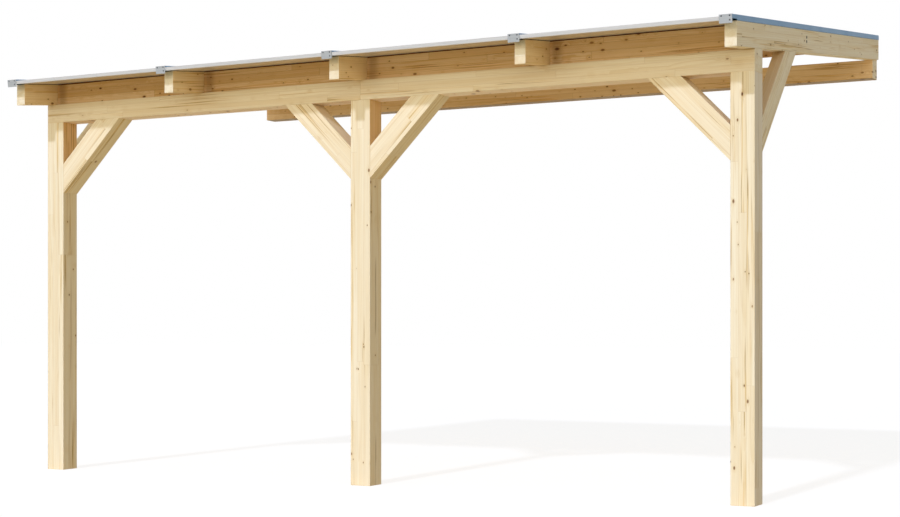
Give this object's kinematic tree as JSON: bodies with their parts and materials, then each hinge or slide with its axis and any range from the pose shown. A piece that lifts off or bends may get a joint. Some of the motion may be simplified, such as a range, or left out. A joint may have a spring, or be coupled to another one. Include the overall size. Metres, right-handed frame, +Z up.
{
  "type": "lean-to patio roof",
  "caption": "Timber lean-to patio roof: braced posts and a purlin in front, sloping rafters to a wall ledger, and flat sheets held by metal glazing bars.",
  "frame": {"origin": "middle of the ledger's flat face that is screwed to the wall, halfway along it and halfway up it", "axes": "+X to the right along the wall for someone facing the front, +Y out of the ledger into the wall, so the posts and the low front edge are towards -Y, +Z up"},
  "size_m": [4.163, 2.593, 2.4739],
  "materials": {
    "glulam": "planed, untreated",
    "seal_rubber": "matt, black",
    "sheet_plastic": "smooth, glossy",
    "trim_aluminium": "satin",
    "bar_aluminium": "satin blue grey",
    "cap_aluminium": "satin"
  },
  "bodies": {
    "root": {"post_left": "glulam", "post_middle": "glulam", "post_right": "glulam", "purlin_left": "glulam", "purlin_right": "glulam", "front_brace_1": "glulam", "front_brace_2": "glulam", "front_brace_3": "glulam", "front_brace_4": "glulam", "rear_brace_left": "glulam", "rear_brace_right": "glulam", "rafter_1": "glulam", "rafter_2": "glulam", "rafter_3": "glulam", "rafter_4": "glulam", "rafter_5": "glulam", "blocking_1": "glulam", "blocking_2": "glulam", "blocking_3": "glulam", "blocking_4": "glulam", "rear_blocking": "glulam", "wall_ledger": "glulam", "rafter_seal_1": "seal_rubber", "rafter_seal_2": "seal_rubber", "rafter_seal_3": "seal_rubber", "rafter_seal_4": "seal_rubber", "rafter_seal_5": "seal_rubber", "roof_sheet_1": "sheet_plastic", "roof_sheet_2": "sheet_plastic", "roof_sheet_3": "sheet_plastic", "roof_sheet_4": "sheet_plastic", "edge_trim_1": "trim_aluminium", "edge_trim_2": "trim_aluminium", "edge_trim_3": "trim_aluminium", "edge_trim_4": "trim_aluminium", "glazing_bar_1": "bar_aluminium", "glazing_bar_2": "bar_aluminium", "glazing_bar_3": "bar_aluminium", "glazing_bar_4": "bar_aluminium", "glazing_bar_5": "bar_aluminium", "end_cap_1": "cap_aluminium", "end_cap_2": "cap_aluminium", "end_cap_3": "cap_aluminium", "end_cap_4": "cap_aluminium", "end_cap_5": "cap_aluminium"}
  },
  "joints": []
}
